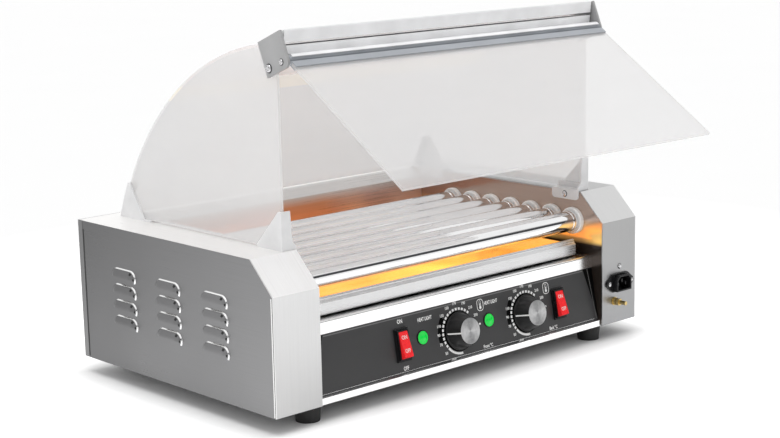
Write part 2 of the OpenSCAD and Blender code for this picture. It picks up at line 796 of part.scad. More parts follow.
base_pan();
left_side_panel();
right_side_panel();
left_housing_cover();
right_housing_cover();
left_inner_wall();
right_inner_wall();
rear_deck();
rear_panel();
tray_shelf();
front_rail();
control_panel();
control_overlay();
tray_runners();
drip_tray();
roller_1();
roller_2();
roller_3();
roller_4();
roller_5();
roller_6();
roller_7();
sprocket_1();
sprocket_2();
sprocket_3();
sprocket_4();
sprocket_5();
sprocket_6();
sprocket_7();
bearing_bushes();
heating_rods();
element_holders();
gear_motor();
motor_bracket();
motor_sprocket();
drive_chain();
thermostats();
front_knob();
back_knob();
front_knob_cap();
back_knob_cap();
front_spindle();
back_spindle();
indicator_lamps();
rocker_housings();
left_rocker_key();
right_rocker_key();
power_inlet();
earth_stud();
rubber_feet();
hood_side_panels();
hood_back_panel();
front_brackets();
rear_brackets();
top_profile();
profile_end_caps();
hinge_strip();
flap_panel();
fixing_screws();
terminal_block_and_wiring();
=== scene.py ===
"""Looks for the hot dog roller grill: materials on the CAD nodes, printed control film, turned and
moulded details, camera, light and floor. Lengths are in metres unless a comment or docstring says
millimetres, and MM turns those into metres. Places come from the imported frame: its node boxes and
its joints."""

import json
import math

import bmesh
import bpy
from mathutils import Matrix, Vector


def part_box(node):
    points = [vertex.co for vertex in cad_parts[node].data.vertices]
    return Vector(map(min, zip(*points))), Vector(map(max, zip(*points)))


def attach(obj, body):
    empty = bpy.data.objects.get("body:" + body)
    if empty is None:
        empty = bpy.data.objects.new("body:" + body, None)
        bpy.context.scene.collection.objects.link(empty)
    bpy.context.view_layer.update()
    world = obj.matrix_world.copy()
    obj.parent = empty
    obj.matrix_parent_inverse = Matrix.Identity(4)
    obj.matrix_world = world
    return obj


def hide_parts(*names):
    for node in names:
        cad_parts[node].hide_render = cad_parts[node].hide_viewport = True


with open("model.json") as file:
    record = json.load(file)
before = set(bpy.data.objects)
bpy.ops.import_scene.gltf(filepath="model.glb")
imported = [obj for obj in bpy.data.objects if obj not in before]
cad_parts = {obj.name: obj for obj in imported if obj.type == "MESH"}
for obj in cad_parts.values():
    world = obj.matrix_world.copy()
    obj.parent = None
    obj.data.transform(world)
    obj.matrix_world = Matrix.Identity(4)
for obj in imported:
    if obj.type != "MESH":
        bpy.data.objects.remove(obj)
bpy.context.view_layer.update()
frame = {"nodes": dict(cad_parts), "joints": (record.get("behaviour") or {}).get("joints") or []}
NODES = frame["nodes"]
JOINTS = {j["name"]: j for j in frame["joints"]}
MM = 0.001
MAP_KEYS = ("From Min", "From Max", "To Min", "To Max")

# The control panel's plane: places on it are millimetres across, down the slope and out of it
DIAL_AT = Vector(JOINTS["front_dial_turn"]["pos_m"])
BACK_DIAL_AT = Vector(JOINTS["back_dial_turn"]["pos_m"])
OUT = Vector(JOINTS["front_dial_turn"]["axis"]).normalized()
UP = Vector((0, OUT.z, -OUT.y))
PANEL_TURN = Matrix((Vector((1, 0, 0)), UP, OUT)).transposed().to_4x4()
DIAL_DROP = 34.6
ROCKERS = {"left_rocker": JOINTS["left_rocker_tip"], "right_rocker": JOINTS["right_rocker_tip"]}
HINGE = Vector(JOINTS["flap_hinge"]["pos_m"])


def on_panel(x, drop, out=0.0):
    place = DIAL_AT - UP * (drop - DIAL_DROP) * MM + OUT * out * MM
    return Vector((x * MM, place.y, place.z))


def panel_matrix(x, drop, out=0.0):
    """Local X runs right, Y up the slope and Z out of the panel."""
    return Matrix.Translation(on_panel(x, drop, out)) @ PANEL_TURN


# ---------------------------------------------------------------- materials


class Finish:
    """A Principled material, with short ways to drive its sockets from procedural textures."""

    def __init__(self, name, color, rough, metal=0.0, **constants):
        self.material = bpy.data.materials.new(name)
        self.material.use_nodes = True
        self.tree = self.material.node_tree
        self.shader = self.tree.nodes["Principled BSDF"]
        self.coords = self.add("ShaderNodeTexCoord").outputs
        self.color = color
        self.rough = rough
        self.set("Base Color", (*color, 1))
        self.set("Roughness", rough)
        self.set("Metallic", metal)
        for key, value in constants.items():
            self.set(key.replace("_", " "), value)

    def set(self, socket, value):
        self.shader.inputs[socket].default_value = value

    def add(self, kind, **settings):
        node = self.tree.nodes.new(kind)
        for key, value in settings.items():
            setattr(node, key, value)
        return node

    def link(self, source, target):
        self.tree.links.new(source, target)

    def place(self, stretch=(1, 1, 1), at=(0, 0, 0), turn=(0, 0, 0)):
        mapping = self.add("ShaderNodeMapping")
        mapping.inputs["Scale"].default_value = stretch
        mapping.inputs["Location"].default_value = at
        mapping.inputs["Rotation"].default_value = turn
        self.link(self.coords["Object"], mapping.inputs["Vector"])
        return mapping.outputs["Vector"]

    def noise(self, stretch=(1, 1, 1), scale=1.0, detail=3.0):
        node = self.add("ShaderNodeTexNoise")
        node.inputs["Scale"].default_value = scale
        node.inputs["Detail"].default_value = detail
        self.link(self.place(stretch), node.inputs["Vector"])
        return node.outputs["Fac"]

    def span(self, value, low, high, to_low, to_high):
        node = self.add("ShaderNodeMapRange")
        for key, number in zip(MAP_KEYS, (low, high, to_low, to_high)):
            node.inputs[key].default_value = number
        self.link(value, node.inputs["Value"])
        return node.outputs["Result"]

    def blend(self, factor, first, second):
        node = self.add("ShaderNodeMix", data_type="RGBA")
        self.link(factor, node.inputs["Factor"])
        for socket, color in ((node.inputs[6], first), (node.inputs[7], second)):
            if isinstance(color, tuple):
                socket.default_value = (*color, 1)
            else:
                self.link(color, socket)
        return node.outputs[2]

    def math(self, operation, first, second):
        node = self.add("ShaderNodeMath", operation=operation)
        for socket, value in ((node.inputs[0], first), (node.inputs[1], second)):
            if isinstance(value, (int, float)):
                socket.default_value = value
            else:
                self.link(value, socket)
        return node.outputs["Value"]

    def axis(self, name):
        """One object coordinate, in metres."""
        node = self.add("ShaderNodeSeparateXYZ")
        self.link(self.coords["Object"], node.inputs["Vector"])
        return node.outputs[name]

    def normal_axis(self, name):
        """One part of the surface's own direction, from -1 to 1."""
        node = self.add("ShaderNodeSeparateXYZ")
        self.link(self.coords["Normal"], node.inputs["Vector"])
        return node.outputs[name]

    def bump(self, height, strength, distance):
        node = self.add("ShaderNodeBump")
        node.inputs["Strength"].default_value = strength
        node.inputs["Distance"].default_value = distance
        self.link(height, node.inputs["Height"])
        self.drive("Normal", node.outputs["Normal"])

    def drive(self, socket, value):
        self.link(value, self.shader.inputs[socket])

    def mask(self, value, low, high):
        """0 below low, 1 above high; give the larger number first to turn it round."""
        if low < high:
            return self.span(value, low, high, 0, 1)
        return self.span(value, high, low, 1, 0)

    def mottle(self, value, low, high, first, second):
        """Base colour that runs from first to second as value runs from low to high."""
        self.drive("Base Color", self.blend(self.mask(value, low, high), first, second))

    def vary_rough(self, value, spread, low=0.35, high=0.65):
        self.drive("Roughness", self.span(value, low, high, self.rough - spread, self.rough + spread))


def tone(color, factor):
    return tuple(min(1.0, c * factor) for c in color)


def grey(level):
    return (level,) * 3


def brushed(f, base, grain, contrast, rough):
    """Fine lines along one axis over a base colour, with faint clouding of the gloss."""
    lines = f.noise(stretch=grain, detail=2)
    clouds = f.noise(scale=9, detail=4)
    shade = f.add("ShaderNodeMix", data_type="RGBA", blend_type="MULTIPLY")
    shade.inputs["Factor"].default_value = 1
    f.link(base, shade.inputs[6])
    f.link(f.blend(f.mask(lines, 0.3, 0.7), grey(1 - contrast), (1, 1, 1)), shade.inputs[7])
    f.drive("Base Color", shade.outputs[2])
    gloss = f.span(clouds, 0.35, 0.65, -0.04, 0.04)
    f.drive("Roughness", f.math("ADD", gloss, f.span(lines, 0.3, 0.7, rough - 0.05, rough + 0.05)))
    f.bump(lines, 0.04, 0.0002)
    return f.material


WARM_HUES = ((0.80, 0.27, 0.08), (0.98, 0.62, 0.16))


def steel(name, color, rough, grain, contrast=0.08, metal=1.0, warm=None, hues=WARM_HUES, glow=0.0,
          behind=None, floor_only=False, painted_shade_below=None):
    """Brushed sheet. Between the heights in warm it carries a heat-tint stain that also stands in for the
    heaters' warm light, painted light, and with glow it glows a little, painted light on a part that is no
    lamp.
    behind keeps the tint further back than a place, floor_only keeps it on faces that look up, and the last
    argument, a height and a share, darkens what is below with painted shade."""
    f = Finish(name, color, rough, metal=metal)
    clouds = f.noise(scale=7, detail=3)
    base = f.blend(f.mask(clouds, 0.35, 0.65), tone(color, 0.97), tone(color, 1.03))
    z = f.axis("Z")
    if warm:
        low, high = warm
        band = f.math("MULTIPLY", f.mask(z, low - 0.004, low), f.mask(z, high + 0.012, high))
        if behind is not None:
            band = f.math("MULTIPLY", band, f.mask(f.axis("Y"), behind, behind + 0.002))
        if floor_only:
            band = f.math("MULTIPLY", band, f.mask(f.normal_axis("Z"), 0.5, 0.8))
        patch = f.span(f.noise(stretch=(3, 9, 6), scale=1.6, detail=2), 0.38, 0.62, 0.35, 1)
        hue = f.blend(f.mask(f.noise(stretch=(2, 1, 1), scale=5, detail=1), 0.4, 0.6), *hues)
        tint_and_painted_glow = f.math("MULTIPLY", band, patch)
        base = f.blend(tint_and_painted_glow, base, hue)
        # Painted light: the tinted band glows, though the sheet is no lamp
        if glow:
            f.drive("Emission Color", hue)
            f.drive("Emission Strength", f.math("MULTIPLY", tint_and_painted_glow, glow))
    # Painted shade: darker below the given height
    if painted_shade_below:
        height, share = painted_shade_below
        base = f.blend(f.mask(z, height, height - 0.006), base, tone(color, share))
    return brushed(f, base, grain, contrast, rough)


def cut_sheet(name, color, front_painted_light, edge, rough, grain):
    """Side sheet with painted light: its dark grey face is painted shade, it is painted lighter towards the
    front, and faces turned from the side, its cut edges and pressed louvres, take a bright painted highlight.
    """
    f = Finish(name, color, rough, metal=1.0)
    low, high = (corner.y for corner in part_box("left_side_panel"))
    # Painted light: lighter towards the front
    face = f.blend(f.mask(f.axis("Y"), high, low), color, tone(color, front_painted_light))
    # Painted highlight: bright where a face turns away from the side
    turned = f.mask(f.math("ABSOLUTE", f.normal_axis("X"), 0), 0.72, 0.58)
    return brushed(f, f.blend(turned, face, edge), grain, 0.08, rough)


def folded_cover(name, front, foot, slope, top, rough, upper_metal):
    """Folded cover with painted light: each fold takes its own painted share of the light, so a face's
    direction sets its tone, the slope and top painted lighter and less metallic, and the front painted darker
    towards its foot.
    """
    f = Finish(name, front, rough, metal=1.0)
    low, high = (corner.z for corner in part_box("left_housing_cover"))
    rise = f.normal_axis("Z")
    # Painted shade: darker towards the foot
    base = f.blend(f.mask(f.axis("Z"), low, high - 0.04), foot, front)
    # Painted light: the slope and the top lighter by their direction
    base = f.blend(f.mask(rise, 0.35, 0.6), base, slope)
    base = f.blend(f.mask(rise, 0.8, 0.95), base, top)
    f.drive("Metallic", f.span(rise, 0.35, 0.6, 1, upper_metal))
    return brushed(f, base, (900, 14, 14), 0.05, rough)


def moulded(name, color, rough, grain=1400, depth=0.15, **constants):
    """Moulded or painted surface with a fine texture and slight handling marks."""
    f = Finish(name, color, rough, **constants)
    fine = f.noise(scale=grain, detail=2)
    marks = f.noise(scale=28, detail=5)
    f.mottle(marks, 0.35, 0.7, tone(color, 0.93), tone(color, 1.06))
    f.vary_rough(marks, 0.06)
    f.bump(fine, depth, 0.0001)
    return f.material


def acrylic(name, normal, clear, edge, glow, band_at=None):
    """Clear sheet gone milky with use: fainter over its faces than on its edges, with wiping marks.
    From the height band_at up it also carries a painted reflection: a warm band and reddish streaks, standing
    in for the heat's light reflected in it."""
    f = Finish(name, (0.60, 0.60, 0.60), 0.16)
    f.set("IOR", 1.49)
    f.set("Specular IOR Level", 0.35)
    # Painted light: a faint even white glow, standing in for light passing through the milky sheet
    f.set("Emission Color", (1, 1, 1, 1))
    f.set("Emission Strength", glow)
    dot = f.add("ShaderNodeVectorMath", operation="DOT_PRODUCT")
    f.link(f.coords["Normal"], dot.inputs[0])
    dot.inputs[1].default_value = normal
    face = f.math("ABSOLUTE", dot.outputs["Value"], 0)
    ends = (clear, edge) if band_at else (edge, clear)
    share = f.span(face, 0.4, 0.6, *ends)
    wipe = f.span(f.noise(stretch=(1.5, 3, 7), detail=4), 0.35, 0.7, -0.03, 0.03)
    haze_and_painted_reflection = f.blend(f.noise(scale=3, detail=2), (0.60, 0.60, 0.605), (0.64, 0.625, 0.62))
    # Painted reflection of the heat's light: reddish streaks above band_at and a warm band about it
    if band_at:
        z = f.axis("Z")
        streak = f.mask(f.noise(stretch=(0.7, 4, 60), detail=3), 0.42, 0.62)
        painted_streaks = f.math("MULTIPLY", f.mask(z, band_at + 0.008, band_at + 0.02), streak)
        haze_and_painted_reflection = f.blend(f.math("MULTIPLY", painted_streaks, 0.4), haze_and_painted_reflection, (0.66, 0.47, 0.44))
        lower = f.mask(z, band_at - 0.008, band_at - 0.006)
        band = f.math("MULTIPLY", lower, f.mask(z, band_at + 0.012, band_at + 0.008))
        haze_and_painted_reflection = f.blend(f.math("MULTIPLY", band, 0.6), haze_and_painted_reflection, (0.86, 0.76, 0.56))
    f.drive("Base Color", haze_and_painted_reflection)
    f.drive("Alpha", f.math("ADD", share, wipe))
    f.vary_rough(f.noise(scale=60, detail=4), 0.03)
    return f.material


def chrome(name, color, rough):
    """Polished tube with hair-fine turning marks round it and slight clouding from use."""
    f = Finish(name, color, rough, metal=1.0)
    marks = f.noise(stretch=(1800, 20, 20), detail=2)
    clouding = f.noise(stretch=(14, 60, 60), detail=4)
    f.mottle(clouding, 0.45, 0.8, color, tone(color, 0.88))
    dulled = f.span(clouding, 0.4, 0.8, rough, rough + 0.08)
    f.drive("Roughness", f.math("ADD", dulled, f.span(marks, 0.4, 0.6, 0, 0.02)))
    f.bump(marks, 0.03, 0.0001)
    return f.material


def turned_cap(name, centre):
    """Spun aluminium disc: fine rings about its centre, and paired light and dark fans in its colour, a
    painted highlight that stands in for the way the turned face reflects.
    """
    f = Finish(name, (0.80, 0.80, 0.81), 0.3, metal=1.0)
    inverse = (Matrix.Translation(centre) @ PANEL_TURN).inverted()
    vector = f.place(at=inverse.translation, turn=inverse.to_euler("XYZ"))
    rings = f.add("ShaderNodeTexWave", wave_type="RINGS", rings_direction="Z")
    rings.inputs["Scale"].default_value = 700
    rings.inputs["Distortion"].default_value = 0.6
    f.link(vector, rings.inputs["Vector"])
    # Painted highlight: light and dark fans round the centre, broken by fine streaks
    turns = f.add("ShaderNodeTexGradient", gradient_type="RADIAL")
    f.link(vector, turns.inputs["Vector"])
    painted_fan = f.math("COSINE", f.math("MULTIPLY", turns.outputs["Fac"], 4 * math.pi), 0)
    streak = f.noise(scale=240, detail=2)
    shade = f.math("ADD", f.span(painted_fan, -1, 1, 0.15, 0.85), f.span(streak, 0.3, 0.7, -0.15, 0.15))
    f.drive("Base Color", f.blend(shade, (0.30, 0.30, 0.305), (0.74, 0.74, 0.74)))
    f.bump(rings.outputs["Fac"], 0.12, 0.0001)
    return f.material


def lit(name, color, glow, rough=0.25):
    """Lit translucent plastic, a little brighter towards the middle of its facets."""
    f = Finish(name, color, rough)
    cells = f.add("ShaderNodeTexVoronoi")
    cells.inputs["Scale"].default_value = 900
    f.link(f.coords["Object"], cells.inputs["Vector"])
    f.mottle(cells.outputs["Distance"], 0, 0.7, tone(color, 1.15), tone(color, 0.8))
    f.set("Emission Color", (*color, 1))
    f.set("Emission Strength", glow)
    f.bump(cells.outputs["Distance"], 0.15, 0.0002)
    return f.material


def film(name, color):
    """Printed control film: satin, with a faint speckle and rubbed gloss round the controls."""
    f = Finish(name, color, 0.42)
    speck = f.noise(scale=2600, detail=1)
    rub = f.noise(stretch=(18, 40, 40), detail=4)
    f.mottle(speck, 0.3, 0.7, tone(color, 0.9), tone(color, 1.12))
    f.vary_rough(rub, 0.07)
    f.bump(speck, 0.05, 0.00005)
    return f.material


def ink(name, color, gloss=0.4):
    """Screen-printed ink with slightly uneven cover."""
    f = Finish(name, color, 0.5, Specular_IOR_Level=gloss)
    cover = f.noise(scale=1500, detail=2)
    f.mottle(cover, 0.3, 0.7, tone(color, 0.9), tone(color, 1.05))
    return f.material


def put(material, *nodes):
    for name in nodes:
        slots = NODES[name].data.materials
        slots.clear()
        slots.append(material)


# The grain's stretch along each axis, the heights that the heat tints and their painted glow are set by, and
# the height of the hood's painted reflection band
ALONG_X = (10, 1500, 1500)
ALONG_Y = (1500, 10, 1500)
TRAY_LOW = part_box("drip_tray")[0]
ROLLER_Z = JOINTS["roller_1_spin"]["pos_m"][2]
RAIL_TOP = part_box("front_rail")[1].z
# Height of the hood's painted reflection band
REFLECTION_BAND_Z = 0.335

M = {
    # The side sheets' dark grey is painted shade, with painted light towards the front and on their edges
    "side": cut_sheet("side_steel_painted_light", (0.146, 0.146, 0.148), 1.7, grey(0.80), 0.34, ALONG_Y),
    # Lit and shaded copies of one steel: the left cover is painted lighter than the right one
    "left_cover": folded_cover("left_cover_painted_light", grey(0.74), grey(0.49), grey(0.97), (0.88, 0.87, 0.86),
                               0.36, 0.45),
    "right_cover": folded_cover("right_cover_painted_light", grey(0.44), (0.33, 0.332, 0.338), grey(0.70),
                                grey(0.48), 0.36, 1.0),
    # Deck, walls and tray: heat-tint stains that also stand in for the heaters' warm light, painted light;
    # the walls also glow and are painted darker below the rollers, painted shade
    "deck": steel("deck_steel", (0.78, 0.77, 0.76), 0.32, ALONG_X, metal=0.35,
                  warm=(RAIL_TOP - 0.01, ROLLER_Z + 0.014), hues=((0.66, 0.25, 0.13), (0.84, 0.44, 0.25))),
    "wall": steel("wall_steel", (0.48, 0.37, 0.31), 0.2, ALONG_Y, metal=0.6,
                  warm=(ROLLER_Z - 0.024, ROLLER_Z - 0.008), glow=0.45, painted_shade_below=(ROLLER_Z - 0.022, 0.12)),
    "tray": steel("tray_steel", (0.67, 0.67, 0.675), 0.24, ALONG_X, 0.03, metal=0.8,
                  warm=(TRAY_LOW.z - 0.01, TRAY_LOW.z + 0.03), hues=((0.50, 0.20, 0.09), (1.0, 0.72, 0.24)),
                  behind=TRAY_LOW.y + 0.008, floor_only=True),
    "shelf": steel("shelf_steel", (0.20, 0.195, 0.19), 0.35, ALONG_X),
    "bright": steel("bright_steel", (0.93, 0.93, 0.93), 0.2, ALONG_X, 0.04),
    "plain": steel("plain_steel", (0.50, 0.50, 0.505), 0.36, ALONG_X),
    # The rear panel's dark grey is painted shade, like the side sheets'
    "back": steel("back_steel_painted_shade", (0.20, 0.20, 0.202), 0.34, ALONG_X),
    "drive": steel("oiled_steel", (0.26, 0.25, 0.24), 0.4, (300, 300, 300), 0.2),
    "sheath": steel("element_sheath", (0.30, 0.28, 0.26), 0.5, ALONG_X, 0.2),
    "motor": steel("cast_motor", (0.45, 0.46, 0.47), 0.5, (500, 500, 500), 0.1),
    "profile": moulded("profile_aluminium", (0.88, 0.882, 0.89), 0.42, grain=300, Metallic=0.3),
    "chrome": chrome("roller_chrome", (0.90, 0.90, 0.905), 0.045),
    "screw": chrome("screw_chrome", (0.62, 0.62, 0.63), 0.12),
    "brass": steel("brass", (0.62, 0.47, 0.20), 0.28, (600, 600, 600), 0.15),
    "film": film("control_film", (0.034, 0.034, 0.035)),
    "bush": moulded("bush_white", (0.94, 0.94, 0.93), 0.38),
    "bracket": moulded("bracket_white", (0.74, 0.74, 0.745), 0.35, grain=900),
    "end_cap": moulded("end_cap_grey", (0.36, 0.36, 0.363), 0.4, grain=900),
    "hinge": moulded("hinge_grey", (0.34, 0.36, 0.39), 0.36),
    "lip": moulded("hinge_lip", (0.12, 0.125, 0.135), 0.4),
    "knob": moulded("knob_black", (0.012, 0.012, 0.0125), 0.34, Specular_IOR_Level=0.35),
    "socket": moulded("socket_black", (0.008, 0.008, 0.009), 0.3, Specular_IOR_Level=0.3),
    "rubber": moulded("foot_rubber", (0.01, 0.01, 0.01), 0.65, grain=700, depth=0.3),
    "ceramic": moulded("thermostat_ceramic", (0.68, 0.64, 0.57), 0.55),
    "wires": moulded("wiring_sleeve", (0.72, 0.70, 0.62), 0.5),
    "green": lit("lamp_green", (0.0, 0.54, 0.05), 0.45),
    "red": lit("rocker_red", (0.88, 0.02, 0.025), 0.2),
    "white_ink_and_highlight": ink("white_ink_and_highlight", (0.90, 0.90, 0.89)),
    "key_ink": ink("key_ink", (0.92, 0.66, 0.64)),
    "black_ink_and_painted_shadow": ink("black_ink_and_painted_shadow", (0.001, 0.001, 0.001), 0.08),
    "grey_ink": ink("grey_ink", (0.16, 0.16, 0.16)),
    # Painted shade, for the screw recesses and feet, louvre bends and side seams
    "dark": moulded("painted_shade_black", (0.006, 0.006, 0.006), 0.6),
}
ACROSS = (1, 0, 0)
FLAP_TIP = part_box("flap_panel")[0] - HINGE
FLAP_ANGLE = math.atan2(FLAP_TIP.z, FLAP_TIP.y)
FLAP_NORMAL = (0, -math.sin(FLAP_ANGLE), math.cos(FLAP_ANGLE))
M["acrylic_side"] = acrylic("acrylic_side", ACROSS, 0.47, 0.56, 0.17)
M["acrylic_back"] = acrylic("acrylic_back", ACROSS, 0.42, 0.54, 0.15, band_at=REFLECTION_BAND_Z)
M["acrylic_flap"] = acrylic("acrylic_flap", FLAP_NORMAL, 0.44, 0.54, 0.11)

put(M["side"], "left_side_panel", "right_side_panel")
put(M["left_cover"], "left_housing_cover")
put(M["right_cover"], "right_housing_cover")
put(M["deck"], "rear_deck")
put(M["wall"], "left_inner_wall", "right_inner_wall")
put(M["back"], "rear_panel")
put(M["plain"], "base_pan", "element_holders", "motor_bracket", "front_spindle", "back_spindle")
put(M["shelf"], "tray_shelf", "tray_runners")
put(M["bright"], "front_rail", "control_panel")
put(M["film"], "control_overlay")
put(M["tray"], "drip_tray")
put(M["chrome"], *[f"roller_{i}" for i in range(1, 8)])
put(M["drive"], *[f"sprocket_{i}" for i in range(1, 8)], "motor_sprocket", "drive_chain")
put(M["bush"], "bearing_bushes")
put(M["sheath"], "heating_rods")
put(M["motor"], "gear_motor")
put(M["ceramic"], "thermostats")
put(M["knob"], "front_knob", "back_knob")
put(turned_cap("front_cap_aluminium", DIAL_AT), "front_knob_cap")
put(turned_cap("back_cap_aluminium", BACK_DIAL_AT), "back_knob_cap")
put(M["green"], "indicator_lamps")
put(M["socket"], "rocker_housings", "power_inlet")
put(M["red"], "left_rocker_key", "right_rocker_key")
put(M["brass"], "earth_stud")
put(M["rubber"], "rubber_feet")
put(M["acrylic_side"], "hood_side_panels")
put(M["acrylic_back"], "hood_back_panel")
put(M["acrylic_flap"], "flap_panel")
put(M["bracket"], "front_brackets", "rear_brackets")
put(M["profile"], "top_profile")
put(M["end_cap"], "profile_end_caps")
put(M["hinge"], "hinge_strip")
put(M["screw"], "fixing_screws")
put(M["wires"], "terminal_block_and_wiring")


# ---------------------------------------------------------------- pieces


def add_object(name, data):
    obj = bpy.data.objects.new(name, data)
    bpy.context.scene.collection.objects.link(obj)
    return obj


def piece(name, mesh_maker, material, body, smooth=False):
    """One mesh object made by mesh_maker(bmesh), riding on a body."""
    bm = bmesh.new()
    mesh_maker(bm)
    mesh = bpy.data.meshes.new(name)
    bm.to_mesh(mesh)
    bm.free()
    mesh.materials.append(material)
    for polygon in mesh.polygons:
        polygon.use_smooth = smooth
    obj = add_object(name, mesh)
    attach(obj, body)
    return obj


CAPITAL = 0.69  # the built-in font's capital height at size 1
BOLD = 0.036


def add_text(bm, words, size, matrix, width=1.0):
    """Flat letters, centred on the matrix's origin. Size is the capital height in millimetres."""
    curve = bpy.data.curves.new("words", "FONT")
    curve.body = words
    curve.size = size * MM / CAPITAL
    curve.align_x = "CENTER"
    curve.align_y = "CENTER"
    curve.resolution_u = 3
    curve.offset = BOLD * size * MM
    holder = add_object("words", curve)
    bpy.context.view_layer.update()
    flat = holder.evaluated_get(bpy.context.evaluated_depsgraph_get())
    letters = bpy.data.meshes.new_from_object(flat)
    letters.transform(matrix @ Matrix.Diagonal((width, 1, 1, 1)))
    bm.from_mesh(letters)
    bpy.data.objects.remove(holder)
    bpy.data.curves.remove(curve)
    bpy.data.meshes.remove(letters)


def add_polygon(bm, points):
    bm.faces.new([bm.verts.new(p) for p in points])


def shift(x, y, z=0.0):
    return Matrix.Translation((x * MM, y * MM, z * MM))


def polar(radius, angle, height=0.0):
    """A point in metres, from a radius and a height in millimetres and an angle in radians."""
    return Vector((radius * MM * math.cos(angle), radius * MM * math.sin(angle), height * MM))


def add_arc_band(bm, matrix, ring, start, end, steps):
    """Flat piece of a ring, between two radii and two angles in degrees, in the matrix's XY plane."""
    rows = []
    for k in range(steps + 1):
        a = math.radians(start + (end - start) * k / steps)
        rows.append([bm.verts.new(matrix @ polar(r, a)) for r in ring])
    for low, high in zip(rows, rows[1:]):
        bm.faces.new((low[0], low[1], high[1], high[0]))


def add_frame(bm, matrix, width, height, radius, line):
    """Outline of a rounded rectangle, in millimetres."""
    corners = [(1, 1, 0), (-1, 1, 90), (-1, -1, 180), (1, -1, 270)]
    rows = []
    for sx, sy, start in corners:
        for k in range(5):
            a = math.radians(start + 22.5 * k)
            centre = Vector(((width / 2 - radius) * sx, (height / 2 - radius) * sy, 0))
            ray = Vector((math.cos(a), math.sin(a), 0))
            rows.append([bm.verts.new(matrix @ ((centre + ray * r) * MM)) for r in (radius - line, radius)])
    for low, high in zip(rows, rows[1:] + rows[:1]):
        bm.faces.new((low[0], low[1], high[1], high[0]))


def add_lathe(bm, matrix, profile, segments, capped=False):
    """Surface of revolution about local Z from (radius, height) points in millimetres."""
    turns = [2 * math.pi * k / segments for k in range(segments)]
    rings = [[bm.verts.new(matrix @ polar(r, a, h)) for a in turns] for r, h in profile]
    for low, high in zip(rings, rings[1:]):
        for k in range(segments):
            m = (k + 1) % segments
            bm.faces.new((low[k], low[m], high[m], high[k]))
    if capped:
        bm.faces.new(rings[-1])


def add_box(bm, matrix, low, high):
    """Box between two corners in millimetres."""
    low = Vector(low) * MM
    high = Vector(high) * MM
    for v in bmesh.ops.create_cube(bm, size=1.0)["verts"]:
        v.co = matrix @ Vector([low[i] + (high[i] - low[i]) * (v.co[i] + 0.5) for i in range(3)])


# The film's prints, in millimetres: how far each layer stands out of the panel, and the places on it.
# A pair is a place, across from its control and down the panel. The black corners and the grey lines
# are measured in from the panel's ends, each end line at its top and at its foot.
FILM_OUT = 0.03
BLACK_OUT = 0.05
PRINT_OUT = 0.1
PANEL_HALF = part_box("control_overlay")[1].x / MM
DIALS = ((DIAL_AT.x / MM, "Front °C"), (BACK_DIAL_AT.x / MM, "Back °C"))
LAMP_X = (-68.0, 38.5)
LAMP_DROP = 31.3
ROCKER_X = ROCKERS["left_rocker"]["pos_m"][0] / MM
SIGN_AT = (38.6, 11.6)
LABEL_AT = (43, 60.4)
HEAT_LIGHT_AT = (7, 11.2)
ON_AT = (1.5, 7.4)
OFF_AT = (2, 60.2)
CORNER = 16.5
TOP_LINE_IN = 17.4
END_LINE_IN = ((9, 8.1), (3.3, 2.4))
FILM_FOOT = 64
FILM_END = 65.9

# A dial's prints: radii, and angles in degrees, of its ticks, sweep, end mark and dark patches, and the black
# ring round its knob, which is a painted shadow.
# SCALE gives the angle of each number, and STOP_AT is across and up from the dial's middle.
TICK_RING = (24.0, 26.8)
TICK_FIRST = 44
TICK_STEP = 11
TICK_LONG = 7
TICKS = 17
SWEEP_RING = (24.2, 26.8)
SWEEP = (-133, -86)
MARK_RING = (33.0, 35.6)
MARK = (1.2, 4.6)
SCALE = {50: -138, 70: -161, 90: 179, 110: 161, 130: 138, 150: 117, 170: 94, 190: 68, 210: 46, 230: 24}
SCALE_R = 32.2
STOP_AT = (-13.7, -29.4)
PATCH_RING = (23.4, 33.2)
PATCHES = (149, 170, -171)
PATCH_HALF = 8
SHADOW_RING = (21.5, 23.4)


def beside(x, place):
    across, drop = place
    return panel_matrix(x + across, drop, PRINT_OUT)


def dial_prints(bm, x, label):
    dial = panel_matrix(x, DIAL_DROP, PRINT_OUT)
    for k in range(TICKS):
        start = TICK_FIRST + TICK_STEP * k
        add_arc_band(bm, dial, TICK_RING, start, start + TICK_LONG, 2)
    add_arc_band(bm, dial, SWEEP_RING, *SWEEP, 16)
    for heat, angle in SCALE.items():
        place = Matrix.Translation(polar(SCALE_R, math.radians(angle)))
        add_text(bm, str(heat), 3.1, dial @ place, 0.95)
    add_text(bm, "stop", 3.0, dial @ shift(*STOP_AT), 0.95)
    add_arc_band(bm, dial, MARK_RING, *MARK, 2)
    add_text(bm, label, 3.7, beside(x, LABEL_AT), 0.8)


def heat_sign(bm, sign):
    """A thermometer in a rounded frame."""
    add_frame(bm, sign, 10.4, 13.8, 4, 0.75)
    add_arc_band(bm, sign @ shift(0, -3), (0.05, 1.8), 0, 360, 20)
    add_box(bm, sign, (-0.6, -2, 0), (0.6, 1.6, 0.02))
    add_frame(bm, sign @ shift(0, 1.2), 2.8, 8, 1.3, 0.4)


def white_prints(bm):
    for x, label in DIALS:
        dial_prints(bm, x, label)
        heat_sign(bm, beside(x, SIGN_AT))
    for x in LAMP_X:
        add_text(bm, "HEAT LIGHT", 4.0, beside(x, HEAT_LIGHT_AT), 0.68)
    add_text(bm, "ON", 4.4, beside(ROCKER_X, ON_AT), 0.8)
    add_text(bm, "OFF", 4.4, beside(ROCKER_X, OFF_AT), 0.72)


